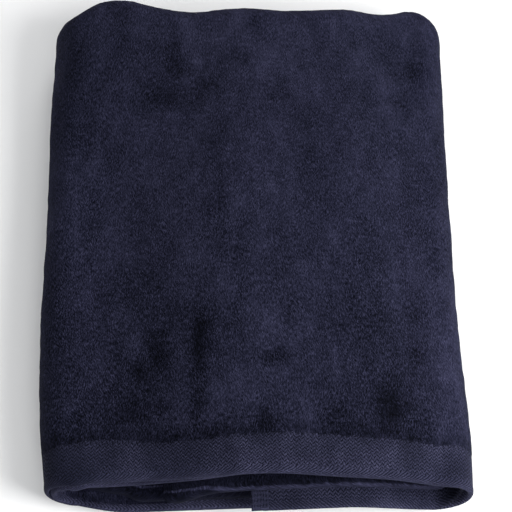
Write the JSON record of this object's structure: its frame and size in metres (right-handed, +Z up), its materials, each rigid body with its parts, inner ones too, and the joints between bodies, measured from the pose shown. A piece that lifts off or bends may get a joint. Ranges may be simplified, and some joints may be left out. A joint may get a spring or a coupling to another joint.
{
  "type": "hand towel, folded",
  "caption": "Navy cotton hand towel with velour pile and flat herringbone end borders, folded lengthwise and crosswise into a soft rectangular stack.",
  "frame": {"origin": "centre of the folded towel's outline, on the plane that it rests on", "axes": "+Z up, +X to the right, -Y towards the hems at the front, +Y towards the folds at the back"},
  "size_m": [0.212, 0.271, 0.0486],
  "materials": {
    "cotton": "matt cut pile with flat-woven borders"
  },
  "bodies": {
    "root": {"towel": "cotton"}
  },
  "joints": []
}
